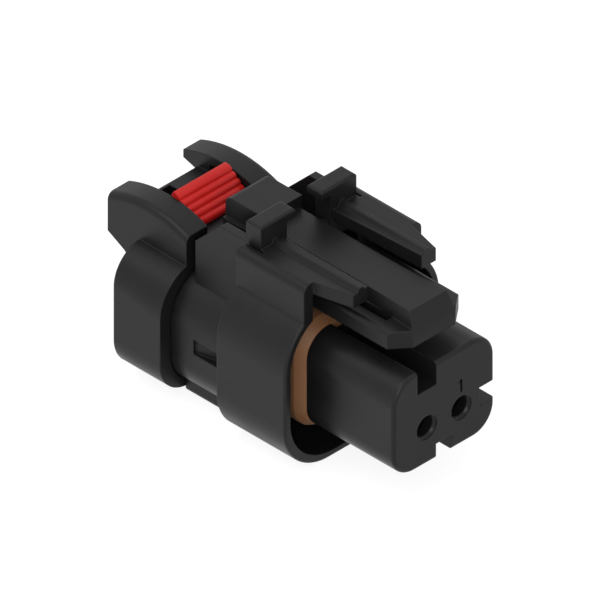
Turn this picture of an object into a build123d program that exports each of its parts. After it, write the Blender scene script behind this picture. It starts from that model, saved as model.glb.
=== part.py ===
from build123d import *
import math
import os

# Sealed two-way plug housing with a top latch and a sliding latch lock.
# Frame, in millimetres: +X is the mating direction, +Z is up, +Y is across.
# The origin is the middle of the nose's front face, level with the pin entries,
# so everything behind the front face has a negative X.

# How far joined shapes run into each other, and how far a cut runs past what it cuts
join = 0.3
past = 1.0

# Contact positions
pin_pitch = 5.1
cavity_width = 2.8
cavity_height = 2.8
cavity_lead = 0.5
core_wall = 0.65

# Nose, the front retainer that the mating half slides over
nose_length = 12.85
nose_half_width = 7.48
nose_top = 7.61
nose_bottom = -4.68
nose_corner = 3.1
nose_edge = 0.45
front_wall = 1.6
pin_entry_r = 1.2
pin_rim_r = 1.5
pin_rim_depth = 0.16
pin_rim_step = 0.08
pin_lead_depth = 0.26
retainer_clearance = 0.1
top_key_from = -3.96
top_key_to = -1.14
top_key_floor = 4.83
bottom_key_half_width = 1.19
bottom_key_ceiling = -2.77
side_key_bottom = -1.11
side_key_top = 1.23
side_key_depth = 2.28
numeral_height = 1.7
numeral_bottom = 2.0
numeral_stroke = 0.3
numeral_flag_reach = 0.42
numeral_flag_start = 0.3
numeral_flag_end = 0.62
numeral_depth = 0.35

# Contact locking fingers inside the nose
finger_length = 6.0
finger_width = 1.5
finger_thickness = 0.55
finger_slot = 0.35
finger_nib = 0.45
finger_nib_length = 0.5
finger_nib_slope = 0.9
finger_root = 0.8
finger_room = 0.9

# Ring seal round the nose's root
seal_length = 4.6
seal_proud = 0.7
seal_seat = 1.0
seal_clearance = 0.05
seal_lead_in = 0.75

# Shroud and the neck on top of it
shroud_offset = 4.03
shroud_wall = 0.8
shroud_back_wall = 1.2
shroud_lead = 0.77
shroud_depth = 10.12
shroud_edge = 0.3
shroud_bottom_corner = 6.5
neck_half_width = 8.71
neck_top = 15.03
neck_wall = 1.33
neck_corner = 1.0
neck_sill = 9.1

# Middle body and its keel
body_half_width = 9.42
body_top = 6.75
body_bottom = -7.1
body_top_corner = 5.0
body_bottom_corner = 4.2
body_length = 8.85
plug_top = 6.6
keel_half_width = 7.35
keel_bottom = -8.4
keel_corner = 0.6
pocket_height = 1.87
pocket_centre = -0.09
pocket_length = 5.55
pocket_depth = 1.42
pocket_rear_depth = 0.35

# Cheeks, hook tabs and rails that guard the latch
tab_step = 0.1
web_top = 13.71
cheek_outer = 7.08
cheek_wall = 1.03
cheek_length = 7.6
cheek_top = 15.05
cheek_slope = 3.7
tab_length = 2.23
tab_inner = 3.23
tab_lip = 1.29
tab_lip_thickness = 1.0
tab_top = 17.8
tab_edge = 0.3
post_bottom = 11.3
rail_inner_rear = 3.6
rail_inner_front = 3.98
rail_ledge_rear = 14.88
rail_ledge_front = 15.16
rail_ridge = 4.95
rail_ridge_top = 15.5
rail_ridge_half_foot = 0.56
rail_ridge_half_top = 0.26
rail_outer = 6.14
rail_overhang = 4.73
rail_groove_length = 0.55

# Latch lever
pivot_behind_tab_front = 0.75
pivot_r = 0.62
pivot_clearance = 0.06
pivot_end_gap = 0.3
pivot_length = 1.2
lever_top = 13.8
lever_thickness = 1.75
lever_half_width = 2.5
head_half_width = 2.76
head_foot_half_width = 3.1
head_length = 9.2
head_bottom = 10.2
head_set_back = 1.4
head_lean = 0.97
head_bulge = 0.25
catch_from = 2.6
catch_to = 7.1
catch_half_width = 2.6
wing_rise_room = 1.48
wing_half_width = 5.3
wing_bottom = 9.8
wing_top = 11.95
wing_behind_shroud_front = 3.42
wing_sweep = 1.75
wing_edge = 0.6
window_from = 4.8
window_to = 10.6
window_inner = 2.78
window_outer = 3.75
window_top = 12.6
thumb_behind_shroud = 7.35
thumb_length = 5.65
thumb_half_width = 2.85
thumb_top = 15.2
thumb_edge = 0.9
saddle_half_width = 3.22
saddle_top = 12.65
saddle_thickness = 1.3
saddle_ahead = 1.2

# Rear cover with its two ears
cover_half_width = 11.06
cover_top = 7.6
cover_bottom = -7.8
cover_top_corner = 5.2
cover_rear_top_corner = 4.2
cover_bottom_corner = 4.3
cover_length = 7.0
cover_clearance = 0.1
cover_end_wall = 1.85
cover_edge = 0.2
wire_entry_r = 1.75
spigot_length = 2.2
ear_inner = 4.03
ear_outer = 7.18
ear_skirt = 0.6
ear_lip = 1.03
ear_lip_drop = 0.3
ear_gusset_rear = 10.1
ear_gusset_root = 9.45
ear_front_wall = 0.8
ear_overhang = 4.65
ear_peak = 12.3
ear_end = 11.1
ear_peak_from_rear = 5.8
ear_edge = 0.8
ear_heel_bottom = 6.3
ear_heel_slope = 1.3
ear_heel_length = 2.47
ear_join = 0.2
bridge_from_rear = 2.2
bridge_thickness = 1.7
bridge_top = 10.06
bridge_root = 1.5
bridge_notch_from = -2.1
bridge_notch_to = -0.5
bridge_notch_depth = 1.1
bridge_notch_wall = 0.35
bar_length = 2.35
bar_top = 9.6

# Wire seal in the middle body
wire_seal_length = 5.5
wire_seal_half_width = 7.3
wire_seal_half_height = 4.5
wire_seal_corner = 3.2
wire_seal_hole_r = 1.0
wire_seal_clearance = 0.05
spigot_clearance = 0.15

# Latch lock that slides forward between the ears
lock_ear_gap = 0.15
lock_clearance = 0.2
lock_skirt_gap = 0.25
lock_base_top = 9.55
lock_base_length = 2.0
lock_lift = 0.15
lock_travel = 3.0
lock_stop_gap = 0.08
runner_length = 3.4
runner_gap = 0.17
lock_length = 3.63
lock_crest_top = 12.8
lock_land_length = 1.21
lock_land_fall = 0.45
lock_back_length = 1.14
lock_back_top = 10.6
lock_foot_top = 10.2
lock_rib_count = 4
lock_rib_height = 0.16

# Places along X that follow from the lengths above
nose_rear = -nose_length
shroud_front = nose_rear + shroud_lead
shroud_rear = shroud_front - shroud_depth
body_rear = shroud_rear - body_length
cover_rear = body_rear - cover_length
ear_rear = cover_rear - ear_overhang
tab_rear = shroud_rear - tab_step
tab_front = tab_rear + tab_length
cheek_rear = shroud_rear - cheek_length
seal_front = nose_rear - retainer_clearance
seal_rear = seal_front - seal_length
core_front = -front_wall - retainer_clearance
finger_rear = seal_front + finger_root
finger_front = finger_rear + finger_length
core_half_width = pin_pitch / 2 + cavity_width / 2 + core_wall
core_half_height = cavity_height / 2 + core_wall
socket_rear = cover_rear + cover_end_wall
body_end = socket_rear + cover_clearance
spigot_front = body_end + spigot_length
wire_seal_rear = spigot_front + spigot_clearance
wire_seal_front = wire_seal_rear + wire_seal_length
bridge_rear = ear_rear + bridge_from_rear
bridge_front = bridge_rear + bridge_thickness
lock_rear = bridge_front + lock_clearance
wing_rear = shroud_front - wing_behind_shroud_front
thumb_rear = shroud_rear - thumb_behind_shroud
thumb_front = thumb_rear + thumb_length
lock_half_width = ear_inner - lock_ear_gap
lock_base_half_width = ear_outer - ear_skirt - lock_skirt_gap
runner_inner = lock_half_width + runner_gap
bar_half_width = runner_inner - lock_clearance
pivot_x = tab_front - pivot_behind_tab_front
throat = neck_half_width - neck_wall
rail_bottom = wing_top + wing_rise_room
pivot_z = lever_top - lever_thickness / 2
lock_foot_x = thumb_rear - lock_stop_gap - lock_travel
lock_foot_bottom = bar_top + lock_clearance
crest_rear = lock_foot_x - lock_length


def block(x0, x1, y0, y1, z0, z1):
    """A box given by its two opposite corners."""
    corner = (Align.MIN, Align.MIN, Align.MIN)
    return Pos(x0, y0, z0) * Box(x1 - x0, y1 - y0, z1 - z0, align=corner)


def outline(half_width, bottom, top, bottom_corner, top_corner):
    """A cross-section in Y and Z, with one radius for its lower and one for its upper corners."""
    middle = (bottom + top) / 2
    face = Pos(0, middle) * Rectangle(2 * half_width, top - bottom)
    lower = face.vertices().filter_by(lambda v: v.Y < middle)
    face = fillet(lower, bottom_corner)
    upper = face.vertices().filter_by(lambda v: v.Y > top - 1e-6)
    return fillet(upper, top_corner)


def nose_outline(grow):
    """The nose's section, grown outwards all round, or inwards where grow is negative."""
    corner = nose_corner + grow
    half_width = nose_half_width + grow
    return outline(half_width, nose_bottom - grow, nose_top + grow, corner, corner)


def along_x(section, x0, x1):
    """A section in Y and Z carried from x0 forward to x1."""
    return extrude(Plane.YZ.offset(x0) * section, amount=x1 - x0)


def side_profile(points, y0, y1):
    """A closed outline of X and Z points carried across from y0 to y1."""
    face = make_face(Polyline(*points, close=True))
    return extrude(Plane.XZ.offset(-y0) * face, amount=y0 - y1)


def plan_profile(points, z0, z1):
    """A closed outline of X and Y points carried up from z0 to z1."""
    face = make_face(Polyline(*points, close=True))
    return extrude(Plane.XY.offset(z0) * face, amount=z1 - z0)


def rod_x(radius, x0, x1, y, z):
    """A round rod along X."""
    return along_x(Pos(y, z) * Circle(radius), x0, x1)


def both_sides(shape):
    """The shape and its mirror image across the middle plane."""
    return shape + mirror(shape, about=Plane.XZ)


def cavity_centres():
    """The two contact positions across the part."""
    return (-pin_pitch / 2, pin_pitch / 2)


def front_edges(shape):
    """The outline of the foremost face."""
    return shape.faces().sort_by(Axis.X)[-1].outer_wire().edges()


def numeral_cut():
    """The numeral 1 above the right-hand pin entry: a stem with a flag."""
    y = pin_pitch / 2
    half = numeral_stroke / 2
    top = numeral_bottom + numeral_height
    points = [(y + half, numeral_bottom), (y + half, top), (y - half, top),
              (y - numeral_flag_reach, top - numeral_flag_start),
              (y - numeral_flag_reach, top - numeral_flag_end),
              (y - half, top - numeral_flag_start), (y - half, numeral_bottom)]
    return along_x(make_face(Polyline(*points, close=True)), -numeral_depth, past)


def front_retainer():
    """The nose: a cap over the contact core, with pin entries and three keyways."""
    nose = along_x(nose_outline(0), nose_rear, 0)
    nose = fillet(front_edges(nose), nose_edge)
    room = retainer_clearance
    pocket = block(nose_rear, -front_wall, -core_half_width - room, core_half_width + room,
                   -core_half_height - room, core_half_height + room)
    pocket += block(nose_rear, -front_wall, -core_half_width - room, core_half_width + room,
                    0, core_half_height + finger_room)
    nose -= pocket
    for y in cavity_centres():
        nose -= rod_x(pin_entry_r, -front_wall - past, past, y, 0)
        nose -= rod_x(pin_rim_r, -pin_rim_depth, past, y, 0)
        lead = Plane.YZ.offset(-pin_rim_depth - pin_lead_depth) * Pos(y, 0) * Circle(pin_entry_r)
        mouth = Plane.YZ.offset(-pin_rim_depth) * Pos(y, 0) * Circle(pin_rim_r - pin_rim_step)
        nose -= loft([lead, mouth])
    nose -= block(nose_rear, 0, top_key_from, top_key_to, top_key_floor, nose_top + past)
    nose -= block(nose_rear, 0, -bottom_key_half_width, bottom_key_half_width,
                  nose_bottom - past, bottom_key_ceiling)
    nose -= block(nose_rear, 0, nose_half_width - side_key_depth, nose_half_width + past,
                  side_key_bottom, side_key_top)
    return nose - numeral_cut()


def ring_seal():
    """The soft ring that the mating half presses on, with a rounded leading edge."""
    ring = along_x(nose_outline(seal_proud), seal_rear, seal_front)
    ring = fillet(front_edges(ring), seal_lead_in)
    return ring - along_x(nose_outline(-seal_seat), seal_rear, seal_front)


def contact_core():
    """The block with the two contact cavities and their locking fingers."""
    core = block(shroud_rear, core_front, -core_half_width, core_half_width,
                 -core_half_height, core_half_height)
    return core + along_x(nose_outline(-seal_seat - seal_clearance), shroud_rear, seal_front)


def cavity_cuts():
    """The room for the two contacts, with a slot on three sides of each locking finger."""
    cuts = []
    window_half = finger_width / 2 + finger_slot
    for y in cavity_centres():
        cuts += block(wire_seal_front - cavity_lead, core_front + past, y - cavity_width / 2,
                      y + cavity_width / 2, -cavity_height / 2, cavity_height / 2).solids()
        cuts += block(finger_rear, finger_front + finger_slot, y - window_half, y + window_half,
                      0, core_half_height + past).solids()
    return cuts


def locking_fingers():
    """One springy finger over each cavity, with a nib that drops behind a contact."""
    fingers = []
    root = finger_rear - join
    top = core_half_height
    under = top - finger_thickness
    tip = under - finger_nib
    points = [(root, top), (finger_front, top), (finger_front, tip),
              (finger_front - finger_nib_length, tip),
              (finger_front - finger_nib_length - finger_nib_slope, under), (root, under)]
    for y in cavity_centres():
        fingers += side_profile(points, y - finger_width / 2, y + finger_width / 2).solids()
    return fingers


def shroud_and_neck():
    """The sleeve round the nose, open at the top into the neck that carries the latch."""
    grow = shroud_offset
    ring = outline(nose_half_width + grow, nose_bottom - grow, nose_top + grow,
                   shroud_bottom_corner, nose_corner + grow)
    sleeve = along_x(ring, shroud_rear, shroud_front)
    sleeve = fillet(front_edges(sleeve), shroud_edge)
    neck = block(shroud_rear, shroud_front, -neck_half_width, neck_half_width, 0, neck_top)
    top_edges = neck.edges().filter_by(Axis.X).group_by(Axis.Z)[-1]
    neck = fillet(top_edges, neck_corner)
    shell = sleeve + neck
    inner = nose_outline(shroud_offset - shroud_wall)
    shell -= along_x(inner, shroud_rear + shroud_back_wall, shroud_front)
    shell -= block(shroud_rear + shroud_back_wall, shroud_front, -throat, throat, 0, neck_top + past)
    shell -= block(shroud_rear, shroud_front, -throat, throat, neck_sill, neck_top + past)
    return shell


def middle_body():
    """The body behind the shroud, with its keel and a pocket on each side."""
    section = outline(body_half_width, body_bottom, body_top, body_bottom_corner, body_top_corner)
    body = along_x(section, body_rear + cover_clearance, shroud_rear + shroud_back_wall)
    plug = outline(body_half_width, body_bottom, plug_top, body_bottom_corner, body_top_corner)
    body += along_x(plug, body_end, body_rear + cover_clearance)
    keel = block(body_rear + cover_clearance, shroud_rear + shroud_back_wall, -keel_half_width,
                 keel_half_width, keel_bottom, 0)
    keel_edges = keel.edges().filter_by(Axis.X).group_by(Axis.Z)[0]
    body += fillet(keel_edges, keel_corner)
    z0 = pocket_centre - pocket_height / 2
    pocket_rear = shroud_rear - pocket_length
    side = -body_half_width
    points = [(pocket_rear, side - past), (pocket_rear, side + pocket_rear_depth),
              (shroud_rear, side + pocket_depth), (shroud_rear, side - past)]
    return body - both_sides(plan_profile(points, z0, z0 + pocket_height))


def wire_seal_chamber():
    """The pocket for the wire seal, open at the rear."""
    grow = wire_seal_clearance
    half_width = wire_seal_half_width + grow
    half_height = wire_seal_half_height + grow
    corner = wire_seal_corner + grow
    section = outline(half_width, -half_height, half_height, corner, corner)
    return along_x(section, body_end, wire_seal_front + grow)


def rail_section(x, outer):
    """A rail's section at x: an inner ledge, a ridge and a flat top out to the given width."""
    share = (x - tab_front) / (shroud_front + rail_overhang - tab_front)
    inner = rail_inner_rear + share * (rail_inner_front - rail_inner_rear)
    ledge = rail_ledge_rear + share * (rail_ledge_front - rail_ledge_rear)
    points = [(inner, rail_bottom), (inner, ledge), (rail_ridge - rail_ridge_half_foot, ledge),
              (rail_ridge - rail_ridge_half_top, rail_ridge_top),
              (rail_ridge + rail_ridge_half_top, rail_ridge_top),
              (rail_ridge + rail_ridge_half_foot, neck_top), (outer, neck_top), (outer, rail_bottom)]
    return Plane.YZ.offset(x) * make_face(Polyline(*points, close=True))


def rail():
    """One rail: a ridged slab from the tab to a narrow tip in front, joined to the neck's wall."""
    tip = shroud_front + rail_overhang
    along = loft([rail_section(tab_front - join, cheek_outer), rail_section(shroud_front, cheek_outer)],
                 ruled=True)
    ahead = loft([rail_section(shroud_front - join, throat), rail_section(tip, rail_outer)], ruled=True)
    strip = block(tab_front + rail_groove_length, shroud_front, cheek_outer - join, throat + join,
                  rail_bottom, neck_top)
    return along + ahead + strip


def tab_and_cheek():
    """One hook tab over the lever with the cheek that runs back from it."""
    hook_points = [(tab_inner - tab_lip, tab_top), (cheek_outer, tab_top), (cheek_outer, post_bottom),
                   (tab_inner, post_bottom), (tab_inner, tab_top - tab_lip_thickness),
                   (tab_inner - tab_lip, tab_top - tab_lip_thickness)]
    tab = along_x(make_face(Polyline(*hook_points, close=True)), tab_rear, tab_front)
    top_face = tab.faces().sort_by(Axis.Z)[-1]
    tab = fillet(top_face.edges(), tab_edge)
    into_tab = tab_rear + join
    into_wall = shroud_rear + join
    cheek_points = [(cheek_rear, 0), (cheek_rear, cheek_top - cheek_slope),
                    (cheek_rear + cheek_slope, cheek_top), (into_tab, cheek_top),
                    (into_tab, post_bottom), (into_wall, post_bottom), (into_wall, 0)]
    cheek = side_profile(cheek_points, cheek_outer - cheek_wall, cheek_outer)
    web = block(shroud_rear, tab_front + rail_groove_length, cheek_outer - join, throat + join,
                neck_sill - join, web_top)
    return tab + cheek + web


def pivot_bores():
    """The seats of the lever's pivot stubs in the two tab posts."""
    reach = tab_inner + pivot_length + pivot_end_gap
    bore = Cylinder(pivot_r + pivot_clearance, 2 * reach, rotation=(90, 0, 0))
    return Pos(pivot_x, 0, pivot_z) * bore


def housing():
    """The main moulding."""
    part = shroud_and_neck() + middle_body() + contact_core()
    part += both_sides(tab_and_cheek() + rail())
    part -= wire_seal_chamber()
    part -= cavity_cuts()
    part += locking_fingers()
    return part - pivot_bores()


def lever_head():
    """The wide front of the latch with its two wings and the window through each."""
    front = -head_set_back
    half_foot = head_foot_half_width
    shoulder = front - wing_sweep
    plan = [(front, -half_foot), (shoulder, -wing_half_width), (wing_rear, -wing_half_width),
            (wing_rear, wing_half_width), (shoulder, wing_half_width), (front, half_foot)]
    wings = plan_profile(plan, wing_bottom, wing_top)
    outer_rims = wings.edges().filter_by(Axis.X).group_by(Axis.Z)[-1]
    wings = fillet(outer_rims, wing_edge)

    def crown_section(x, half_top, half_bottom):
        points = [(-half_bottom, head_bottom), (half_bottom, head_bottom), (half_bottom, wing_top),
                  (half_top, lever_top), (-half_top, lever_top), (-half_bottom, wing_top)]
        return Plane.YZ.offset(x) * make_face(Polyline(*points, close=True))

    crown = loft([crown_section(front - head_length, lever_half_width, lever_half_width),
                  crown_section(front, head_half_width, half_foot)])
    middle_x = front - head_lean / 2 + head_bulge
    middle_z = (wing_bottom + lever_top) / 2
    curve = ThreePointArc((front, wing_bottom), (middle_x, middle_z), (front - head_lean, lever_top))
    ahead = Polyline((front - head_lean, lever_top), (front - head_lean, lever_top + past),
                     (front + past, lever_top + past), (front + past, wing_bottom), (front, wing_bottom))
    brow = make_face(Curve() + [curve, ahead])
    head = wings + crown
    head -= extrude(Plane.XZ.offset(wing_half_width) * brow, amount=-2 * wing_half_width)
    window = block(-window_to, -window_from, window_inner, window_outer, wing_bottom - past, window_top)
    head -= both_sides(window)
    return head - block(-catch_to, -catch_from, -catch_half_width, catch_half_width,
                        wing_bottom - past, head_bottom)


def latch_lever():
    """The rocking latch: head in front of the pivot, thumb pad behind it."""
    under = lever_top - lever_thickness
    beam = block(thumb_front, -head_set_back - head_length + join, -lever_half_width, lever_half_width,
                 under, lever_top)
    lever = lever_head() + beam
    reach = tab_inner + pivot_length
    lever += Pos(pivot_x, 0, pivot_z) * Cylinder(pivot_r, 2 * reach, rotation=(90, 0, 0))
    thumb = block(thumb_rear, thumb_front, -thumb_half_width, thumb_half_width,
                  saddle_top - join, thumb_top)
    rear_top = thumb.edges().filter_by(Axis.Y).sort_by(lambda e: e.center().Z - e.center().X)[-1]
    thumb = fillet(rear_top, thumb_edge)
    saddle = block(thumb_rear, thumb_front + saddle_ahead, -saddle_half_width, saddle_half_width,
                   saddle_top - saddle_thickness, saddle_top)
    return lever + thumb + saddle


def ear():
    """One ear: an arched lip with a skirt and a front wall, and a full plate behind the bridge."""
    peak_x = ear_rear + ear_peak_from_rear
    crown = ThreePointArc((ear_rear, ear_end), (peak_x, ear_peak), (body_rear, ear_end))
    foot = cover_top - cover_top_corner
    skirt_line = Polyline((body_rear, ear_end), (body_rear, foot), (cover_rear + join, foot),
                          (ear_rear + ear_heel_length, ear_heel_bottom - ear_heel_slope),
                          (ear_rear, ear_heel_bottom), (ear_rear, ear_end))
    side = make_face(Curve() + [crown, skirt_line])
    full = extrude(Plane.XZ.offset(-ear_inner) * side, amount=ear_inner - ear_outer)
    top_edge = full.edges().filter_by(GeomType.CIRCLE).sort_by(Axis.Y)[-1]
    full = fillet(top_edge, ear_edge)
    room_front = body_rear - ear_front_wall
    room_top = ear_end - ear_lip - ear_lip_drop
    under = ThreePointArc((bridge_front, ear_peak - ear_lip - ear_lip_drop), (peak_x, ear_peak - ear_lip),
                          (room_front, room_top))
    behind = ear_rear - past
    room_line = Polyline((room_front, room_top), (room_front, foot - past), (behind, foot - past),
                         (behind, ear_gusset_rear), (ear_rear, ear_gusset_rear),
                         (bridge_rear, ear_gusset_root), (bridge_front, ear_gusset_root),
                         (bridge_front, ear_peak - ear_lip - ear_lip_drop))
    room = make_face(Curve() + [under, room_line])
    inner = ear_inner - past
    return full - extrude(Plane.XZ.offset(-inner) * room, amount=inner - ear_outer + ear_skirt)


def rear_cover():
    """The cap that closes the body and holds the wire seal, with its ears and rear bridge."""
    mouth = outline(cover_half_width, cover_bottom, cover_top, cover_bottom_corner, cover_top_corner)
    end = outline(cover_half_width, cover_bottom, cover_top, cover_bottom_corner, cover_rear_top_corner)
    cap = loft([Plane.YZ.offset(cover_rear) * end, Plane.YZ.offset(body_rear) * mouth], ruled=True)
    rear_rim = cap.faces().sort_by(Axis.X)[0].outer_wire().edges()
    cap = fillet(rear_rim, cover_edge)
    wall = ear_outer - ear_join
    root = cover_top - bridge_root
    bridge = block(bridge_rear, bridge_front, -wall, wall, root, bridge_top)
    bridge -= block(bridge_rear + bridge_notch_wall, bridge_front, bridge_notch_from, bridge_notch_to,
                    bridge_top - bridge_notch_depth, bridge_top)
    ledge = block(bridge_front - join, cover_rear + cover_edge + join, -wall, wall, root, cover_top)
    bar = block(body_rear - bar_length, body_rear, -bar_half_width, bar_half_width, root, bar_top)
    cap += both_sides(ear()) + bridge + ledge + bar
    grow = cover_clearance
    socket = outline(body_half_width + grow, body_bottom - grow, plug_top + grow,
                     body_bottom_corner + grow, body_top_corner + grow)
    cap -= along_x(socket, socket_rear, body_rear)
    gap = spigot_clearance
    spigot = outline(wire_seal_half_width - gap, -wire_seal_half_height + gap,
                     wire_seal_half_height - gap, wire_seal_corner - gap, wire_seal_corner - gap)
    cap += along_x(spigot, socket_rear, spigot_front)
    for y in cavity_centres():
        cap -= rod_x(wire_entry_r, cover_rear - past, spigot_front + past, y, 0)
    return cap


def wire_seal():
    """The soft mat behind the contacts, with one ribbed hole for each wire."""
    section = outline(wire_seal_half_width, -wire_seal_half_height, wire_seal_half_height,
                      wire_seal_corner, wire_seal_corner)
    mat = along_x(section, wire_seal_rear, wire_seal_front)
    for y in cavity_centres():
        mat -= rod_x(wire_seal_hole_r, wire_seal_rear, wire_seal_front, y, 0)
    return mat


def lock_slider():
    """The latch lock: a base with two runners under the ears' lips and a ribbed ramp between them."""
    base_bottom = cover_top + lock_lift
    base_front = lock_rear + lock_base_length
    base = block(lock_rear, base_front, -lock_base_half_width, lock_base_half_width,
                 base_bottom, lock_base_top)
    runner = block(lock_rear, lock_rear + runner_length, runner_inner, lock_base_half_width,
                   base_bottom, lock_base_top)
    land_front = crest_rear + lock_land_length
    land_top = lock_crest_top - lock_land_fall
    back_x = crest_rear - lock_back_length
    ramp_points = [(back_x, base_bottom), (back_x, lock_back_top), (crest_rear, lock_crest_top),
                   (land_front, land_top), (lock_foot_x, lock_foot_top), (lock_foot_x, lock_foot_bottom),
                   (base_front, lock_foot_bottom), (base_front, base_bottom)]
    ramp = side_profile(ramp_points, -lock_half_width, lock_half_width)
    run = lock_foot_x - land_front
    drop = land_top - lock_foot_top
    slant = math.hypot(run, drop)
    half_pitch = slant / lock_rib_count / 2
    rib_r = (half_pitch ** 2 + lock_rib_height ** 2) / (2 * lock_rib_height)
    sink = rib_r - lock_rib_height
    above_foot = block(back_x, lock_foot_x, -lock_half_width, lock_half_width,
                       lock_foot_bottom, lock_crest_top)
    for index in range(lock_rib_count):
        share = (index + 0.5) / lock_rib_count
        rib = Cylinder(rib_r, 2 * lock_half_width, rotation=(90, 0, 0))
        rib_x = land_front + share * run - sink * drop / slant
        rib_z = land_top - share * drop - sink * run / slant
        ramp += (Pos(rib_x, 0, rib_z) * rib) & above_foot
    return base + both_sides(runner) + ramp


os.makedirs("parts", exist_ok=True)

pieces = {
    "housing": housing,
    "front_retainer": front_retainer,
    "ring_seal": ring_seal,
    "latch_lever": latch_lever,
    "rear_cover": rear_cover,
    "wire_seal": wire_seal,
    "lock_slider": lock_slider,
}

for name, make in pieces.items():
    export_step(make(), f"parts/{name}.step")
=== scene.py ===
"""Looks for a sealed two-way plug housing: black plastic, brown silicone seals and a red latch lock.

Lengths are in metres. +X is the mating direction, +Z is up and +Y is across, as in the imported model.
"""

import logging
import math
from dataclasses import dataclass
from enum import Enum

import bpy
import numpy as np
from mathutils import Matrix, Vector

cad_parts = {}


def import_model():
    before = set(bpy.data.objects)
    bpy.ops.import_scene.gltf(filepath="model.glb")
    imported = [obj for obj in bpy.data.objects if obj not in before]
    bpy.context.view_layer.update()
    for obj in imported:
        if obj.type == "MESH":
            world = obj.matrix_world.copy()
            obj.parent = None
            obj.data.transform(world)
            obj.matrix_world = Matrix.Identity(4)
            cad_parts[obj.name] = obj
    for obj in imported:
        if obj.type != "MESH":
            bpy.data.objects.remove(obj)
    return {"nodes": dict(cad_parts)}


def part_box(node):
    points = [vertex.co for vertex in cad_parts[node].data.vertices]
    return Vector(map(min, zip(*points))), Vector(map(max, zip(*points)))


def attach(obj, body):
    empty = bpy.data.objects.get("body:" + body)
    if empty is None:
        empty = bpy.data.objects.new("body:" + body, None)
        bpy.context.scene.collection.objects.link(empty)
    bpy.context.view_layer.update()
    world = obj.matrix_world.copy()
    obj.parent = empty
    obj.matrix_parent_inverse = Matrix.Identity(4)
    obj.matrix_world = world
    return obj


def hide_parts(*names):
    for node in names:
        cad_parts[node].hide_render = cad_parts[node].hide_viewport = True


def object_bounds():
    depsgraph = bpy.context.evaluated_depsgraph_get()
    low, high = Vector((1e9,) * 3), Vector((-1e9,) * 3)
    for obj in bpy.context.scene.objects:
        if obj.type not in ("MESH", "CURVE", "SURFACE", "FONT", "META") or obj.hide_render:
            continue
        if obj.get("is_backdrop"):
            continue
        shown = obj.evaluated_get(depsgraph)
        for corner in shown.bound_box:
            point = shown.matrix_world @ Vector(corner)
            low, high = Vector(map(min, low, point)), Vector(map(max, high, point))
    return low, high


LOG = logging.getLogger("connector_housing")
MM = 0.001
QUARTER = math.pi / 2.0
FULL_TURN = 2.0 * math.pi


class Body(Enum):
    """The rigid bodies that pieces ride on."""

    MAIN = "main"
    RETAINER = "retainer"
    LATCH = "latch"
    LOCK = "lock"


class Slot(Enum):
    """The material slots of the stored part."""

    HOUSING = "housing_plastic"
    RETAINER = "retainer_plastic"
    LATCH = "latch_plastic"
    COVER = "cover_plastic"
    LOCK = "lock_plastic"
    RING = "ring_rubber"
    WIRE = "wire_rubber"


# Shared node groups


def new_group(name: str, inputs: dict[str, float], outputs: dict[str, str]) -> bpy.types.NodeTree:
    """Make an empty shader node group with its sockets.

    Args:
        name: The group's name.
        inputs: The default of each number input by name.
        outputs: The socket type of each output by name.

    Returns:
        The group, with its group input and output nodes added.
    """
    tree = bpy.data.node_groups.new(name, "ShaderNodeTree")
    for label, default in inputs.items():
        socket = tree.interface.new_socket(name=label, in_out="INPUT", socket_type="NodeSocketFloat")
        socket.default_value = default
    for label, kind in outputs.items():
        tree.interface.new_socket(name=label, in_out="OUTPUT", socket_type=kind)
    tree.nodes.new("NodeGroupInput")
    tree.nodes.new("NodeGroupOutput")
    return tree


def maths(tree: bpy.types.NodeTree, operation: str, first: object, second: object) -> bpy.types.NodeSocket:
    """Add a Math node and return its result.

    Args:
        tree: The node tree it goes in.
        operation: The Math node's operation.
        first: A socket or a number.
        second: A socket or a number.

    Returns:
        The node's output socket.
    """
    node = tree.nodes.new("ShaderNodeMath")
    node.operation = operation
    for index, value in enumerate((first, second)):
        if isinstance(value, bpy.types.NodeSocket):
            tree.links.new(value, node.inputs[index])
        else:
            node.inputs[index].default_value = value
    return node.outputs[0]


def spread(tree: bpy.types.NodeTree, value: bpy.types.NodeSocket, low: float, high: float,
           to_low: float, to_high: float) -> bpy.types.NodeSocket:
    """Map a value from one range to another, held at both ends.

    Args:
        tree: The node tree it goes in.
        value: The socket that is mapped.
        low: The value that becomes to_low.
        high: The value that becomes to_high.
        to_low: The result at and below low.
        to_high: The result at and above high.

    Returns:
        The mapped value's socket.
    """
    node = tree.nodes.new("ShaderNodeMapRange")
    tree.links.new(value, node.inputs["Value"])
    for label, number in (("From Min", low), ("From Max", high), ("To Min", to_low), ("To Max", to_high)):
        node.inputs[label].default_value = number
    return node.outputs["Result"]


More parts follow.
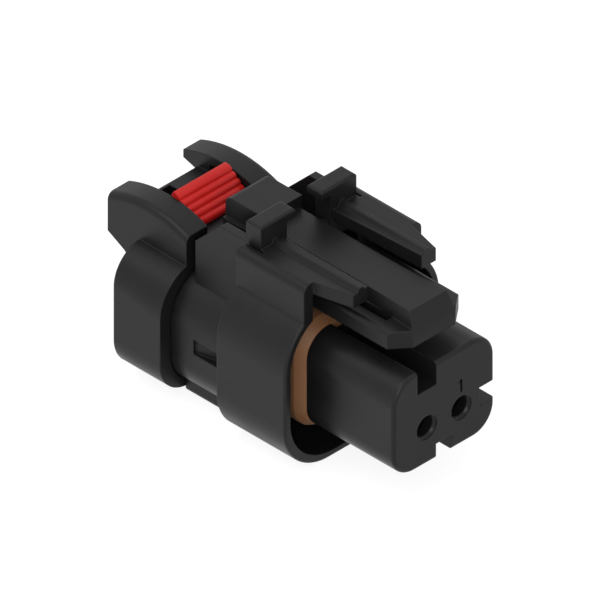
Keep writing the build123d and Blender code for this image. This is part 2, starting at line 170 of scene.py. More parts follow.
class SurfaceGroups:
    """The node groups that the finishes share, each built once."""

    def __init__(self) -> None:
        """Build every group."""
        self.grain = self._grain()
        self.edges = self._edges()
        self.flow = self._flow()

    @staticmethod
    def _grain() -> bpy.types.NodeTree:
        """Fine spark-eroded mould texture: two octaves of noise, and a slower mottle.

        Returns:
            A group with Height and Mottle outputs.
        """
        tree = new_group("mould_grain", {"Grains per metre": 9000.0, "Mottles per metre": 260.0},
                         {"Height": "NodeSocketFloat", "Mottle": "NodeSocketFloat"})
        start, end = tree.nodes["Group Input"], tree.nodes["Group Output"]
        place = tree.nodes.new("ShaderNodeTexCoord")
        fine = tree.nodes.new("ShaderNodeTexNoise")
        fine.inputs["Detail"].default_value = 3.0
        fine.inputs["Roughness"].default_value = 0.6
        tree.links.new(place.outputs["Object"], fine.inputs["Vector"])
        tree.links.new(start.outputs["Grains per metre"], fine.inputs["Scale"])
        slow = tree.nodes.new("ShaderNodeTexNoise")
        slow.inputs["Detail"].default_value = 2.0
        tree.links.new(place.outputs["Object"], slow.inputs["Vector"])
        tree.links.new(start.outputs["Mottles per metre"], slow.inputs["Scale"])
        tree.links.new(fine.outputs["Fac"], end.inputs["Height"])
        tree.links.new(slow.outputs["Fac"], end.inputs["Mottle"])
        return tree

    @staticmethod
    def _edges() -> bpy.types.NodeTree:
        """Rounded edges: the normal averaged within a radius, and a mask that is 1 where it turns, which
        places the painted edge highlight.

        Returns:
            A group with Normal and Mask outputs.
        """
        tree = new_group("soft_edges", {"Radius": 0.16 * MM},
                         {"Normal": "NodeSocketVector", "Mask": "NodeSocketFloat"})
        start, end = tree.nodes["Group Input"], tree.nodes["Group Output"]
        bevel = tree.nodes.new("ShaderNodeBevel")
        bevel.samples = 8
        tree.links.new(start.outputs["Radius"], bevel.inputs["Radius"])
        flat = tree.nodes.new("ShaderNodeNewGeometry")
        dot = tree.nodes.new("ShaderNodeVectorMath")
        dot.operation = "DOT_PRODUCT"
        tree.links.new(bevel.outputs["Normal"], dot.inputs[0])
        tree.links.new(flat.outputs["Normal"], dot.inputs[1])
        turn = maths(tree, "SUBTRACT", 1.0, dot.outputs["Value"])
        mask = spread(tree, turn, 0.01, 0.2, 0.0, 1.0)
        tree.links.new(bevel.outputs["Normal"], end.inputs["Normal"])
        tree.links.new(mask, end.inputs["Mask"])
        return tree

    @staticmethod
    def _flow() -> bpy.types.NodeTree:
        """Faint flow lines of a moulding: noise drawn out along the mating direction.

        Returns:
            A group with a Flow output.
        """
        tree = new_group("mould_flow", {"Lines per metre": 900.0}, {"Flow": "NodeSocketFloat"})
        start, end = tree.nodes["Group Input"], tree.nodes["Group Output"]
        place = tree.nodes.new("ShaderNodeTexCoord")
        pull = tree.nodes.new("ShaderNodeMapping")
        pull.inputs["Scale"].default_value = (0.08, 1.0, 1.0)
        noise = tree.nodes.new("ShaderNodeTexNoise")
        noise.inputs["Detail"].default_value = 4.0
        tree.links.new(place.outputs["Object"], pull.inputs["Vector"])
        tree.links.new(pull.outputs["Vector"], noise.inputs["Vector"])
        tree.links.new(start.outputs["Lines per metre"], noise.inputs["Scale"])
        tree.links.new(noise.outputs["Fac"], end.inputs["Flow"])
        return tree


# Finishes


@dataclass(frozen=True)
class Finish:
    """One finish: colours, gloss, surface detail and a painted edge highlight of a material.

    Attributes:
        name: The material's name.
        colour: The base colour, linear.
        edge_highlight_colour: The lighter colour that edges lift towards as a painted highlight, linear.
        edge_highlight: How strongly edges are lifted towards it as a painted highlight, from 0 to 1.
        roughness: The lowest and highest roughness over the surface.
        edge_radius: The radius that edges appear rounded to.
        grains: Grains per metre of the mould texture.
        depth: The mould texture's depth.
        specular: The shader's specular level.
        sheen: The shader's sheen weight.
        scatter: The shader's subsurface weight.
    """

    name: str
    colour: tuple[float, float, float]
    edge_highlight_colour: tuple[float, float, float]
    edge_highlight: float
    roughness: tuple[float, float]
    edge_radius: float
    grains: float
    depth: float
    specular: float = 0.5
    sheen: float = 0.0
    scatter: float = 0.0

    def build(self, groups: SurfaceGroups) -> bpy.types.Material:
        """Make the material.

        Args:
            groups: The shared node groups.

        Returns:
            The material.
        """
        material = bpy.data.materials.new(self.name)
        material.use_nodes = True
        tree = material.node_tree
        shader = tree.nodes["Principled BSDF"]
        shader.inputs["Specular IOR Level"].default_value = self.specular
        shader.inputs["Sheen Weight"].default_value = self.sheen
        shader.inputs["Subsurface Weight"].default_value = self.scatter
        shader.inputs["Subsurface Scale"].default_value = SCATTER_DEPTH
        grain = self._place(tree, groups.grain, {"Grains per metre": self.grains})
        edges = self._place(tree, groups.edges, {"Radius": self.edge_radius})
        flow = self._place(tree, groups.flow, {})
        tone = tree.nodes.new("ShaderNodeMix")
        tone.data_type = "RGBA"
        tone.inputs["A"].default_value = (*self.colour, 1.0)
        tone.inputs["B"].default_value = (*self.edge_highlight_colour, 1.0)
        uneven = spread(tree, grain.outputs["Mottle"], *MOTTLE_RANGE, 0.0, MOTTLE_LIFT)
        # Painted highlight: the edge mask lifts edges towards the lighter edge colour.
        painted_edge_highlight = maths(tree, "MULTIPLY", edges.outputs["Mask"], self.edge_highlight)
        tree.links.new(maths(tree, "ADD", uneven, painted_edge_highlight), tone.inputs["Factor"])
        tree.links.new(tone.outputs["Result"], shader.inputs["Base Color"])
        both = maths(tree, "ADD", grain.outputs["Mottle"], flow.outputs["Flow"])
        blend = maths(tree, "MULTIPLY", both, 0.5)
        tree.links.new(spread(tree, blend, *GLOSS_RANGE, *self.roughness), shader.inputs["Roughness"])
        bump = tree.nodes.new("ShaderNodeBump")
        bump.inputs["Distance"].default_value = self.depth
        bump.inputs["Strength"].default_value = BUMP_STRENGTH
        tree.links.new(grain.outputs["Height"], bump.inputs["Height"])
        tree.links.new(edges.outputs["Normal"], bump.inputs["Normal"])
        tree.links.new(bump.outputs["Normal"], shader.inputs["Normal"])
        return material

    @staticmethod
    def _place(tree: bpy.types.NodeTree, group: bpy.types.NodeTree,
               values: dict[str, float]) -> bpy.types.Node:
        """Place a shared group in a material and set its inputs.

        Args:
            tree: The material's tree.
            group: The shared group.
            values: Input name to value.

        Returns:
            The group node.
        """
        node = tree.nodes.new("ShaderNodeGroup")
        node.node_tree = group
        for label, number in values.items():
            node.inputs[label].default_value = number
        return node


# The lighter second colour of each pair below is its painted edge highlight.
BLACK = (0.0095, 0.0095, 0.0098)
BLACK_EDGE_HIGHLIGHT = (0.02, 0.02, 0.0205)
RED = (0.57, 0.012, 0.010)
RED_EDGE_HIGHLIGHT = (0.66, 0.05, 0.045)
BROWN = (0.246, 0.110, 0.0445)
BROWN_EDGE_HIGHLIGHT = (0.292, 0.141, 0.064)
SHINE = 0.22
SCATTER_DEPTH = 0.8 * MM
MOTTLE_RANGE = (0.35, 0.7)
MOTTLE_LIFT = 0.18
GLOSS_RANGE = (0.35, 0.65)
BUMP_STRENGTH = 0.6

FINISHES = {
    Slot.HOUSING: Finish("black_moulding", BLACK, BLACK_EDGE_HIGHLIGHT, edge_highlight=0.5, roughness=(0.34, 0.44),
                         edge_radius=0.18 * MM, grains=7000.0, depth=0.004 * MM, specular=SHINE),
    Slot.RETAINER: Finish("black_nose", BLACK, BLACK_EDGE_HIGHLIGHT, edge_highlight=0.4, roughness=(0.30, 0.38),
                          edge_radius=0.12 * MM, grains=9000.0, depth=0.003 * MM, specular=SHINE),
    Slot.LATCH: Finish("black_latch", BLACK, BLACK_EDGE_HIGHLIGHT, edge_highlight=0.6, roughness=(0.32, 0.42),
                       edge_radius=0.16 * MM, grains=8000.0, depth=0.004 * MM, specular=SHINE),
    Slot.COVER: Finish("black_cover", BLACK, BLACK_EDGE_HIGHLIGHT, edge_highlight=0.5, roughness=(0.34, 0.44),
                       edge_radius=0.18 * MM, grains=7000.0, depth=0.004 * MM, specular=SHINE),
    Slot.LOCK: Finish("red_lock", RED, RED_EDGE_HIGHLIGHT, edge_highlight=0.5, roughness=(0.26, 0.34),
                      edge_radius=0.1 * MM, grains=9000.0, depth=0.002 * MM, specular=SHINE),
    Slot.RING: Finish("brown_silicone", BROWN, BROWN_EDGE_HIGHLIGHT, edge_highlight=0.4, roughness=(0.48, 0.6),
                      edge_radius=0.08 * MM, grains=6000.0, depth=0.004 * MM, sheen=0.05, scatter=0.1),
    Slot.WIRE: Finish("brown_silicone_mat", BROWN, BROWN_EDGE_HIGHLIGHT, edge_highlight=0.4, roughness=(0.5, 0.62),
                      edge_radius=0.08 * MM, grains=6000.0, depth=0.004 * MM, sheen=0.05, scatter=0.1),
}


# Surfaces


def grid_faces(rows: int, columns: int, wrap_rows: bool, wrap_columns: bool) -> np.ndarray:
    """Quads of a grid of points, row by row.

    The quad at row i, column j joins points (i, j), (i, j + 1), (i + 1, j + 1) and (i + 1, j), counted
    around the grid where it is closed.

    Args:
        rows: Number of rows of points.
        columns: Number of points in a row.
        wrap_rows: Whether the last row joins the first.
        wrap_columns: Whether each row's last point joins its first.

    Returns:
        An array of point numbers, four to a quad.
    """
    i = np.arange(rows if wrap_rows else rows - 1)[:, None]
    j = np.arange(columns if wrap_columns else columns - 1)[None, :]
    next_i = (i + 1) % rows
    next_j = (j + 1) % columns
    corners = np.stack(np.broadcast_arrays(i * columns + j, i * columns + next_j,
                                           next_i * columns + next_j, next_i * columns + j), axis=-1)
    return corners.reshape(-1, 4)


def mesh_object(name: str, points: np.ndarray, faces: list[list[int]],
                smooth_angle: float) -> bpy.types.Object:
    """Make an object from points and faces, smooth except at edges sharper than an angle.

    Args:
        name: The object's name.
        points: Points in metres, one to a row.
        faces: Point numbers of each face.
        smooth_angle: The largest angle in degrees that is shaded smooth.

    Returns:
        The object, linked to the scene, at the origin.
    """
    mesh = bpy.data.meshes.new(name)
    mesh.from_pydata(points.tolist(), [], faces)
    mesh.validate()
    mesh.update()
    piece = bpy.data.objects.new(name, mesh)
    bpy.context.scene.collection.objects.link(piece)
    mesh.shade_smooth()
    mesh.set_sharp_from_angle(angle=math.radians(smooth_angle))
    return piece


def outward(points: np.ndarray, faces: np.ndarray) -> np.ndarray:
    """Turn all faces round if they enclose a negative volume.

    The volume is a sixth of the sum, over the triangles, of the first corner's dot product with the cross
    product of the other two.

    Args:
        points: Points, one to a row.
        faces: Quads, one to a row.

    Returns:
        The quads with outward normals.
    """
    triangles = np.concatenate([faces[:, [0, 1, 2]], faces[:, [0, 2, 3]]])
    first, second, third = (points[triangles[:, corner]] for corner in range(3))
    volume = np.sum(first * np.cross(second, third)) / 6.0
    return faces if volume > 0 else faces[:, ::-1]


def rounded_outline(half_width: float, bottom: float, top: float, corner: float,
                    steps: int) -> tuple[np.ndarray, np.ndarray]:
    """A rounded rectangle in Y and Z with its outward normals.

    Each corner is a quarter circle: its points lie at the corner's centre plus the radius times
    (cosine, sine) of the angle, and that same pair is the normal.

    Args:
        half_width: Half the width.
        bottom: The lowest height.
        top: The greatest height.
        corner: The corner radius.
        steps: Steps in each corner.

    Returns:
        The points and the normals, anticlockwise from the +Y side.
    """
    turn = (np.arange(4)[:, None] + np.linspace(0.0, 1.0, steps + 1)[None, :]) * QUARTER
    normals = np.stack([np.cos(turn), np.sin(turn)], axis=-1)
    reach = half_width - corner
    centres = np.array([[reach, top - corner], [-reach, top - corner], [-reach, bottom + corner],
                        [reach, bottom + corner]])
    return (centres[:, None, :] + corner * normals).reshape(-1, 2), normals.reshape(-1, 2)


def finish_piece(piece: bpy.types.Object, body: Body, material: bpy.types.Material,
                 stands_for: str) -> None:
    """Give a new piece its material and its body, and hide the CAD node that it stands for.

    Args:
        piece: The new piece.
        body: The body that it rides on.
        material: Its finish.
        stands_for: The CAD node's name, or an empty text.
    """
    piece.data.materials.append(material)
    if stands_for:
        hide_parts(stands_for)
    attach(piece, body.value)
    LOG.info("built %s: %d faces on %s", piece.name, len(piece.data.polygons), body.value)


# Sub-assemblies


@dataclass
class Moulding:
    """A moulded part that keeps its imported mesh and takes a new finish.

    Attributes:
        node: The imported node's name.
        slot: The finish that it takes.
    """

    node: str
    slot: Slot

    def dress(self, nodes: dict[str, bpy.types.Object], materials: dict[Slot, bpy.types.Material]) -> None:
        """Put the finish in every material slot.

        Args:
            nodes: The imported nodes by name.
            materials: The finishes by slot.
        """
        shape = nodes[self.node]
        if not shape.material_slots:
            shape.data.materials.append(materials[self.slot])
        for place in shape.material_slots:
            place.material = materials[self.slot]
        LOG.info("dressed %s with %s", self.node, materials[self.slot].name)


@dataclass
class RingSeal:
    """The soft ring seal behind the nose: a sloping lead-in and lips behind it.

    Attributes:
        front: Where its front face lies along X.
        rear: Where its rear face lies along X.
        half_width: Half the nose's width.
        bottom: The nose's lowest height.
        top: The nose's greatest height.
        corner: The nose's corner radius.
        proud: How far the lips stand above the nose.
        groove: How far the grooves between the lips lie above the nose.
        seat: How far the ring reaches inwards below the nose's surface.
        lips: The middle and half the width of each lip along X.
        crown: The power that shapes a lip: 2 is an ellipse, more is squarer.
        lead: Where the lead-in reaches its full height along X.
        bend: The power that shapes the lead-in: 1 is straight, more is rounder.
        smooth: The largest angle in degrees that is shaded smooth.
    """

    front: float = -12.95 * MM
    rear: float = -17.55 * MM
    half_width: float = 7.48 * MM
    bottom: float = -4.68 * MM
    top: float = 7.61 * MM
    corner: float = 3.1 * MM
    proud: float = 0.7 * MM
    groove: float = 0.46 * MM
    seat: float = 1.0 * MM
    lips: tuple[tuple[float, float], ...] = ((-14.65 * MM, 0.8 * MM), (-16.02 * MM, 0.42 * MM),
                                             (-17.04 * MM, 0.42 * MM))
    crown: float = 5.0
    lead: float = -14.15 * MM
    bend: float = 1.03
    smooth: float = 42.0

    def section(self) -> np.ndarray:
        """The ring's section as a closed loop of X and height above the nose.

        The outer line is the groove's height plus, within each lip, the lip's rise times the root of one
        minus the distance from its middle, in half widths, to the crown power. Ahead of the lead-in's
        start it falls to nothing as one minus the distance, in lead-in lengths, to the bend power.

        Returns:
            The loop's points, one to a row.
        """
        x = np.linspace(self.rear, self.front, 141)
        height = np.full_like(x, self.groove)
        for middle, half in self.lips:
            away = np.clip(np.abs(x - middle) / half, 0.0, 1.0) ** self.crown
            height = np.maximum(height, self.groove + (self.proud - self.groove) * np.sqrt(1.0 - away))
        ahead = np.clip((x - self.lead) / (self.front - self.lead), 0.0, 1.0)
        height = np.where(x > self.lead, self.proud * (1.0 - ahead ** self.bend), height)
        outer = np.stack([x, height], axis=1)
        down = np.linspace(0.0, -self.seat, 9)[1:]
        face = np.stack([np.full_like(down, self.front), down], axis=1)
        back = np.linspace(self.front, self.rear, 9)[1:]
        inner = np.stack([back, np.full_like(back, -self.seat)], axis=1)
        up = np.linspace(-self.seat, self.groove, 9)[1:-1]
        heel = np.stack([np.full_like(up, self.rear), up], axis=1)
        return np.concatenate([outer, face, inner, heel])

    def build(self, materials: dict[Slot, bpy.types.Material]) -> None:
        """Carry the section round the nose's outline.

        Each point lies on the outline, moved along its normal by the section's height.

        Args:
            materials: The finishes by slot.
        """
        path, normals = rounded_outline(self.half_width, self.bottom, self.top, self.corner, 22)
        loop = self.section()
        across = path[:, None, :] + normals[:, None, :] * loop[None, :, 1:2]
        along = np.broadcast_to(loop[None, :, 0:1], across.shape[:2] + (1,))
        points = np.concatenate([along, across], axis=2).reshape(-1, 3)
        faces = outward(points, grid_faces(len(path), len(loop), True, True))
        piece = mesh_object("ring_seal_with_lips", points, faces.tolist(), self.smooth)
        finish_piece(piece, Body.MAIN, materials[Slot.RING], "ring_seal")


@dataclass
class WireSeal:
    """The soft mat behind the contacts: two halves, each with one wire hole that has sealing ribs.

    Attributes:
        front: Where its front face lies along X.
        rear: Where its rear face lies along X.
        half_width: Half its width.
        half_height: Half its height.
        corner: Its corner radius.
        hole: The radius of a wire hole at its ribs.
        rib_depth: How much wider the hole is between its ribs.
        rim_depth: How deep the grooves round the outside are.
        ribs: How many ribs each hole and the outside have.
        hole_y: How far a hole's middle lies from the middle plane.
        smooth: The largest angle in degrees that is shaded smooth.
    """

    front: float
    rear: float
    half_width: float = 7.3 * MM
    half_height: float = 4.5 * MM
    corner: float = 3.2 * MM
    hole: float = 1.0 * MM
    rib_depth: float = 0.22 * MM
    rim_depth: float = 0.25 * MM
    ribs: int = 3
    hole_y: float = 2.55 * MM
    smooth: float = 35.0

    def _edge(self, side: float, turn: np.ndarray) -> np.ndarray:
        """The outer edge of one half, as seen from its hole.

        A ray from the hole's middle stops at the nearest of the middle plane, the flat sides and the
        corner circles.

        Args:
            side: 1 for the +Y half and -1 for the other.
            turn: The angle of each ray.

        Returns:
            The distance along each ray.
        """
        cosine, sine = np.cos(turn) * side, np.sin(turn)
        tiny = 1e-9
        to_outer = np.where(cosine > tiny, (self.half_width - self.hole_y) / np.maximum(cosine, tiny), np.inf)
        to_middle = np.where(cosine < -tiny, self.hole_y / np.maximum(-cosine, tiny), np.inf)
        to_flat = np.where(np.abs(sine) > tiny, self.half_height / np.maximum(np.abs(sine), tiny), np.inf)
        reach = np.minimum(np.minimum(to_outer, to_middle), to_flat)
        centre_y = self.half_width - self.corner - self.hole_y
        centre_z = self.half_height - self.corner
        beyond = (reach * cosine > centre_y) & (reach * np.abs(sine) > centre_z)
        along = cosine * centre_y + np.abs(sine) * centre_z
        inside = np.maximum(along ** 2 - centre_y ** 2 - centre_z ** 2 + self.corner ** 2, 0.0)
        return np.where(beyond, along + np.sqrt(inside), reach)

    def build(self, materials: dict[Slot, bpy.types.Material]) -> None:
        """Make both halves.

        Each half is a closed ring of points: out along the bore, whose radius rises and falls with the
        cosine of the distance along it, over the front face, back along the grooved outside and in
        over the rear face.

        Args:
            materials: The finishes by slot.
        """
        steps = 61
        share = np.linspace(0.0, 1.0, steps)
        wave = 0.5 + 0.5 * np.cos(FULL_TURN * self.ribs * share)
        bore_x = self.rear + share * (self.front - self.rear)
        cross = np.linspace(0.0, 1.0, 9)[1:-1]
        x = np.concatenate([bore_x, np.full(len(cross), self.front), bore_x[::-1],
                            np.full(len(cross), self.rear)])
        blend = np.concatenate([np.zeros(steps), cross, np.ones(steps), cross[::-1]])
        widen = np.concatenate([wave, np.ones(len(cross)), np.zeros(steps), np.ones(len(cross))])
        sink = np.concatenate([np.zeros(steps + len(cross)), 1.0 - wave[::-1], np.zeros(len(cross))])
        turn = np.linspace(0.0, FULL_TURN, 129)[:-1]
        for side, name in ((-1.0, "wire_seal_near_half"), (1.0, "wire_seal_far_half")):
            edge = self._edge(side, turn)[:, None] - self.rim_depth * sink[None, :]
            bore = self.hole + self.rib_depth * widen[None, :]
            radius = (1.0 - blend[None, :]) * bore + blend[None, :] * edge
            y = side * self.hole_y + radius * np.cos(turn)[:, None]
            z = radius * np.sin(turn)[:, None]
            points = np.stack([np.broadcast_to(x, y.shape), y, z], axis=-1).reshape(-1, 3)
            faces = outward(points, grid_faces(len(turn), len(x), True, True))
            piece = mesh_object(name, points, faces.tolist(), self.smooth)
            finish_piece(piece, Body.MAIN, materials[Slot.WIRE], "wire_seal" if side < 0 else "")


@dataclass
class LatchLock:
    """The red latch lock: a ribbed ramp on a base with two runners.

    Attributes:
        half_width: Half the ramp's width.
        back: The ramp's rear face along X.
        back_top: The height of the rear face.
        under: The height of the ramp's lowest face.
        step: The height of the underside in front of the base.
        crest: X and Z of the crest's rear edge.
        valley: X and Z of the first valley behind the ribs.
        foot: X and Z of the ramp's foot.
        ribs: How many ribs lie between the valley and the foot.
        rib_height: The ribs' height.
        rib_bend: The power that shapes a rib: 1 is a half wave, less is fuller.
        crest_bend: How far the rounding of the crest's rear edge reaches forward.
        crest_drop: How far it reaches down, as a multiple of that.
        cap_bend: The powers that shape the crest's front along X and Z: 1 is an ellipse, less is squarer.
        base: Rear, front, lowest and highest faces of the base.
        base_half_width: Half the base's width.
        runner_inner: Where each runner's inner side lies.
        runner_front: Where the runners end.
        corner: The corner radius of the base and the runners.
        join: How far in front of the base's rear face the runners begin.
        edge: The rounding of outer edges.
        smooth: The largest angle in degrees that is shaded smooth.
    """

    half_width: float = 3.88 * MM
    back: float = -37.4 * MM
    back_top: float = 10.6 * MM
    under: float = 7.75 * MM
    step: float = 9.8 * MM
    crest: tuple[float, float] = (-36.26 * MM, 12.8 * MM)
    valley: tuple[float, float] = (-35.2 * MM, 12.17 * MM)
    foot: tuple[float, float] = (-32.63 * MM, 10.02 * MM)
    ribs: int = 4
    rib_height: float = 0.24 * MM
    rib_bend: float = 0.6
    crest_bend: float = 0.30 * MM
    crest_drop: float = 1.9
    cap_bend: tuple[float, float] = (0.8, 0.75)
    base: tuple[float, float, float, float] = (-38.6 * MM, -36.6 * MM, 7.75 * MM, 9.55 * MM)
    base_half_width: float = 6.2 * MM
    runner_inner: float = 4.05 * MM
    runner_front: float = -35.2 * MM
    corner: float = 0.15 * MM
    join: float = 0.1 * MM
    edge: float = 0.12 * MM
    smooth: float = 30.0

    def ramp_section(self) -> np.ndarray:
        """The ramp's section as a closed loop of X and Z.

        The crest is a quarter of a squared ellipse from the crest's rear edge down to the valley. Each rib
        rises above the line from valley to foot by its height times a half sine wave to the rib's bend.

        Returns:
            The loop's points, one to a row.
        """
        sweep = np.linspace(0.0, QUARTER, 19)
        bend = self.crest_bend
        low = self.crest_drop * bend
        crest_x, crest_z = self.crest
        valley_x, valley_z = self.valley
        rise = np.array([[self.back, self.under], [self.back, self.back_top],
                         [crest_x - bend, crest_z - low]])
        curl = np.stack([crest_x - bend + bend * np.sin(sweep) ** 2,
                         crest_z - low + low * np.sin(sweep)], axis=1)[1:]
        reach, drop = valley_x - crest_x, crest_z - valley_z
        cap = np.stack([crest_x + reach * np.sin(sweep) ** self.cap_bend[0],
                        crest_z - drop * (1.0 - np.cos(sweep) ** self.cap_bend[1])], axis=1)[1:]
        share = np.linspace(0.0, 1.0, self.ribs * 16 + 1)
        run, fall = self.foot[0] - valley_x, valley_z - self.foot[1]
        slant = math.hypot(run, fall)
        swell = self.rib_height * np.abs(np.sin(math.pi * self.ribs * share)) ** self.rib_bend
        ramp = np.stack([valley_x + share * run + swell * fall / slant,
                         valley_z - share * fall + swell * run / slant], axis=1)[1:]
        tail = np.array([[self.foot[0], self.step], [self.base[1], self.step], [self.base[1], self.under]])
        return np.concatenate([rise, curl, cap, ramp, tail])

    def _carry(self, name: str, loop: np.ndarray, ends: tuple[float, float],
               axis: int) -> bpy.types.Object:
        """Carry a closed loop straight along an axis, with both end edges rounded.

        Towards each end the loop shrinks along its own normals by the edge radius times one minus the
        cosine of the turn, while it advances by the radius times the sine.

        Args:
            name: The piece's name.
            loop: The loop's points in the two other axes, in order.
            ends: Where the piece begins and ends along the axis.
            axis: 0 for X and 1 for Y.

        Returns:
            The piece.
        """
        ahead = np.roll(loop, -1, axis=0) - np.roll(loop, 1, axis=0)
        normals = np.stack([ahead[:, 1], -ahead[:, 0]], axis=1)
        normals /= np.linalg.norm(normals, axis=1, keepdims=True)
        area = np.sum(loop[:, 0] * np.roll(loop[:, 1], -1) - np.roll(loop[:, 0], -1) * loop[:, 1])
        normals *= math.copysign(1.0, area)
        turn = np.linspace(0.0, QUARTER, 5)
        inset = np.concatenate([self.edge * (1.0 - np.sin(turn)), self.edge * (1.0 - np.cos(turn))])
        place = np.concatenate([ends[0] + self.edge * (1.0 - np.cos(turn)),
                                ends[1] - self.edge * (1.0 - np.sin(turn))])
        flat = loop[None, :, :] - inset[:, None, None] * normals[None, :, :]
        along = np.broadcast_to(place[:, None], flat.shape[:2])
        if axis == 1:
            points = np.stack([flat[..., 0], along, flat[..., 1]], axis=-1)
        else:
            points = np.stack([along, flat[..., 0], flat[..., 1]], axis=-1)
        count = len(loop)
        rows = len(place)
        points = points.reshape(-1, 3)
        sides = grid_faces(rows, count, False, True)
        middle = points.mean(axis=0)
        faces = outward(points - middle, sides)
        first = list(range(count))
        last = list(range((rows - 1) * count, rows * count))
        turned = bool(faces[0, 0] != sides[0, 0])
        caps = [first, last[::-1]] if turned else [first[::-1], last]
        return mesh_object(name, points, faces.tolist() + caps, self.smooth)

    def _block(self, x0: float, x1: float, z0: float, z1: float) -> np.ndarray:
        """A rounded rectangle's loop between two corners.

        Args:
            x0: Its least first coordinate.
            x1: Its greatest first coordinate.
            z0: Its least second coordinate.
            z1: Its greatest second coordinate.

        Returns:
            The loop's points.
        """
        loop, _ = rounded_outline((x1 - x0) / 2.0, z0, z1, self.corner, 6)
        return loop + np.array([(x0 + x1) / 2.0, 0.0])

    def build(self, materials: dict[Slot, bpy.types.Material]) -> None:
        """Make the ramp, the base and the two runners.

        Args:
            materials: The finishes by slot.
        """
        rear, front, low, high = self.base
        runner = (rear + self.join, self.runner_front)
        parts = [
            self._carry("lock_ribbed_ramp", self.ramp_section(), (-self.half_width, self.half_width), 1),
            self._carry("lock_base", self._block(rear, front, low, high),
                        (-self.base_half_width, self.base_half_width), 1),
            self._carry("lock_near_runner",
                        self._block(-self.base_half_width, -self.runner_inner, low, high), runner, 0),
            self._carry("lock_far_runner",
                        self._block(self.runner_inner, self.base_half_width, low, high), runner, 0),
        ]
        for index, piece in enumerate(parts):
            finish_piece(piece, Body.LOCK, materials[Slot.LOCK], "" if index else "lock_slider")


# Stage


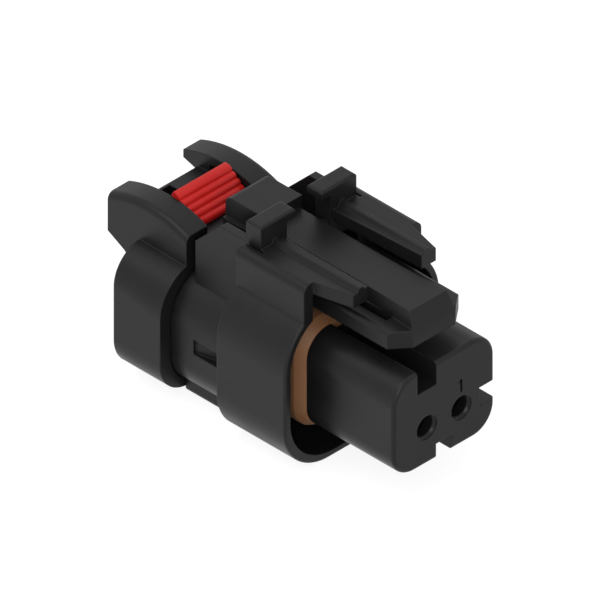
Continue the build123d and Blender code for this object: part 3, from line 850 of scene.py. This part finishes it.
@dataclass
class Studio:
    """A white room: a pale floor, an even sky, soft lamps and a camera at the photograph's angle.

    Attributes:
        floor_z: The floor's height.
        aim: The point that the middle of the picture looks at.
        view_width: The width that the picture covers.
        sky: The sky's strength as it lights the object.
        key: Where the key lamp hangs.
        key_size: The side of the key lamp's square.
        key_power: The key lamp's power in watts.
        fill: Where the fill lamp hangs.
        fill_size: The side of the fill lamp's square.
        fill_power: The fill lamp's power in watts.
        floor_radius: The floor's radius.
        floor_middle: Where the floor's middle lies along X.
        floor_tone: The floor's brightness under the lamps.
        floor_shade: How strongly the floor shows the shadow.
        glow_seen: The floor's own glow to the camera.
        glow: Its glow in reflections.
        glow_ahead_painted_shade: Its glow in reflections of the floor ahead of the nose, lowered there as
            painted shade in the object's reflections.
        ahead: Where X plus Y makes the glow begin to fall and where it has fallen.
        glow_beyond_painted_shade: The share of the glow that is left far behind the object as the camera
            looks at it, lowered as painted shade in grazing reflections.
        beyond: Where Y less X makes the glow begin to fall and where it has fallen.
        distance: How far the camera stands from the aim.
    """

    floor_z: float
    aim: tuple[float, float, float] = (-0.02136, 0.0, 0.00442)
    view_width: float = 0.0629
    sky: float = 0.62
    key: tuple[float, float, float] = (-0.10, -0.22, 0.42)
    key_size: float = 0.30
    key_power: float = 0.55
    fill: tuple[float, float, float] = (0.34, -0.27, 0.24)
    fill_size: float = 0.20
    fill_power: float = 0.6
    floor_radius: float = 1.2
    floor_middle: float = -0.02
    floor_tone: float = 0.8
    floor_shade: float = 0.3
    glow_seen: float = 0.86
    glow: float = 0.81
    glow_ahead_painted_shade: float = 0.53
    ahead: tuple[float, float] = (-0.025, 0.005)
    glow_beyond_painted_shade: float = 0.3
    beyond: tuple[float, float] = (0.045, 0.085)
    distance: float = 0.4

    def build(self) -> None:
        """Build the floor, the sky, the lamps and the camera."""
        scene = bpy.context.scene
        scene.view_settings.view_transform = "Standard"
        self._floor()
        self._sky(scene)
        self._lamp("key_lamp", self.key, self.key_size, self.key_power)
        self._lamp("fill_lamp", self.fill, self.fill_size, self.fill_power)
        self._camera(scene)

    @staticmethod
    def _seen(tree: bpy.types.NodeTree) -> bpy.types.NodeSocket:
        """Mark the rays that see the room itself: from the camera, or by reflection or through glass.

        Args:
            tree: The node tree it goes in.

        Returns:
            1 for such a ray and 0 for any other.
        """
        path = tree.nodes.new("ShaderNodeLightPath")
        direct = maths(tree, "MAXIMUM", path.outputs["Is Camera Ray"], path.outputs["Is Transmission Ray"])
        return maths(tree, "MAXIMUM", direct, path.outputs["Is Glossy Ray"])

    def _floor(self) -> None:
        """Make a pale disc under the object: a matt floor that looks white and keeps a faint shadow."""
        turn = np.linspace(0.0, FULL_TURN, 97)[:-1]
        height = np.full_like(turn, self.floor_z)
        rim = np.stack([self.floor_radius * np.cos(turn) + self.floor_middle,
                        self.floor_radius * np.sin(turn), height], axis=1)
        floor = mesh_object("floor", rim, [list(range(len(rim)))], 30.0)
        material = bpy.data.materials.new("pale_floor")
        material.use_nodes = True
        tree = material.node_tree
        matt = tree.nodes["Principled BSDF"]
        matt.inputs["Base Color"].default_value = (*[self.floor_tone] * 3, 1.0)
        matt.inputs["Roughness"].default_value = 1.0
        matt.inputs["Specular IOR Level"].default_value = 0.0
        glow = tree.nodes.new("ShaderNodeEmission")
        tree.links.new(self._floor_glow(tree), glow.inputs["Strength"])
        dim = tree.nodes.new("ShaderNodeBsdfDiffuse")
        dim.inputs["Color"].default_value = (*[self.floor_shade] * 3, 1.0)
        both = tree.nodes.new("ShaderNodeAddShader")
        tree.links.new(glow.outputs[0], both.inputs[0])
        tree.links.new(dim.outputs[0], both.inputs[1])
        mix = tree.nodes.new("ShaderNodeMixShader")
        tree.links.new(self._seen(tree), mix.inputs[0])
        tree.links.new(matt.outputs[0], mix.inputs[1])
        tree.links.new(both.outputs[0], mix.inputs[2])
        tree.links.new(mix.outputs[0], tree.nodes["Material Output"].inputs["Surface"])
        floor.data.materials.append(material)
        floor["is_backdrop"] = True

    def _floor_glow(self, tree: bpy.types.NodeTree) -> bpy.types.NodeSocket:
        """The floor's glow: even for the camera, and weaker in reflections of two regions, as painted shade
        in the object's reflections.

        Args:
            tree: The floor material's tree.

        Returns:
            The glow's strength.
        """
        place = tree.nodes.new("ShaderNodeTexCoord")
        split = tree.nodes.new("ShaderNodeSeparateXYZ")
        tree.links.new(place.outputs["Object"], split.inputs[0])
        ahead = maths(tree, "ADD", split.outputs["X"], split.outputs["Y"])
        beyond = maths(tree, "SUBTRACT", split.outputs["Y"], split.outputs["X"])
        # Painted shade: reflections see less glow ahead of the nose and far behind the object.
        near = spread(tree, ahead, *self.ahead, self.glow, self.glow_ahead_painted_shade)
        far = spread(tree, beyond, *self.beyond, 1.0, self.glow_beyond_painted_shade)
        reflected = maths(tree, "MULTIPLY", near, far)
        path = tree.nodes.new("ShaderNodeLightPath")
        seen = maths(tree, "MULTIPLY", path.outputs["Is Camera Ray"], self.glow_seen)
        return maths(tree, "MAXIMUM", reflected, seen)

    def _sky(self, scene: bpy.types.Scene) -> None:
        """Make an even pale sky that shows white.

        Args:
            scene: The scene that it lights.
        """
        world = bpy.data.worlds.new("white_room")
        scene.world = world
        world.use_nodes = True
        tree = world.node_tree
        light = tree.nodes["Background"]
        light.inputs["Color"].default_value = (1.0, 1.0, 1.0, 1.0)
        light.inputs["Strength"].default_value = self.sky
        white = tree.nodes.new("ShaderNodeBackground")
        white.inputs["Color"].default_value = (1.0, 1.0, 1.0, 1.0)
        white.inputs["Strength"].default_value = 1.0
        mix = tree.nodes.new("ShaderNodeMixShader")
        tree.links.new(self._seen(tree), mix.inputs[0])
        tree.links.new(light.outputs[0], mix.inputs[1])
        tree.links.new(white.outputs[0], mix.inputs[2])
        tree.links.new(mix.outputs[0], tree.nodes["World Output"].inputs["Surface"])

    def _lamp(self, name: str, place: tuple[float, float, float], size: float, power: float) -> None:
        """Hang a large soft area lamp that looks at the object.

        Args:
            name: The lamp's name.
            place: Where it hangs.
            size: The side of its square.
            power: Its power in watts.
        """
        lamp = bpy.data.lights.new(name, "AREA")
        lamp.shape = "SQUARE"
        lamp.size = size
        lamp.energy = power
        holder = bpy.data.objects.new(name, lamp)
        holder.location = place
        holder.rotation_euler = (Vector(self.aim) - Vector(place)).to_track_quat("-Z", "Y").to_euler()
        bpy.context.scene.collection.objects.link(holder)

    def _camera(self, scene: bpy.types.Scene) -> None:
        """Place a parallel camera that looks equally down all three axes.

        Args:
            scene: The scene that it belongs to.
        """
        camera = bpy.data.cameras.new("camera")
        camera.type = "ORTHO"
        camera.ortho_scale = self.view_width
        camera.clip_start = 0.01
        camera.clip_end = 5.0
        holder = bpy.data.objects.new("camera", camera)
        toward = Vector((1.0, -1.0, 1.0)).normalized()
        holder.location = Vector(self.aim) + self.distance * toward
        holder.rotation_euler = (-toward).to_track_quat("-Z", "Y").to_euler()
        scene.collection.objects.link(holder)
        scene.camera = holder


def main() -> None:
    """Build every piece in order."""
    logging.basicConfig(level=logging.INFO, format="%(message)s")
    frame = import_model()
    cad_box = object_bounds()
    groups = SurfaceGroups()
    materials = {slot: finish.build(groups) for slot, finish in FINISHES.items()}
    nodes = frame["nodes"]
    for moulding in (Moulding("housing", Slot.HOUSING), Moulding("front_retainer", Slot.RETAINER),
                     Moulding("latch_lever", Slot.LATCH), Moulding("rear_cover", Slot.COVER)):
        moulding.dress(nodes, materials)
    RingSeal().build(materials)
    low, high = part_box("wire_seal")
    WireSeal(front=high[0], rear=low[0]).build(materials)
    LatchLock().build(materials)
    Studio(floor_z=cad_box[0][2] - 0.00002).build()


if __name__ == "__main__":
    main()
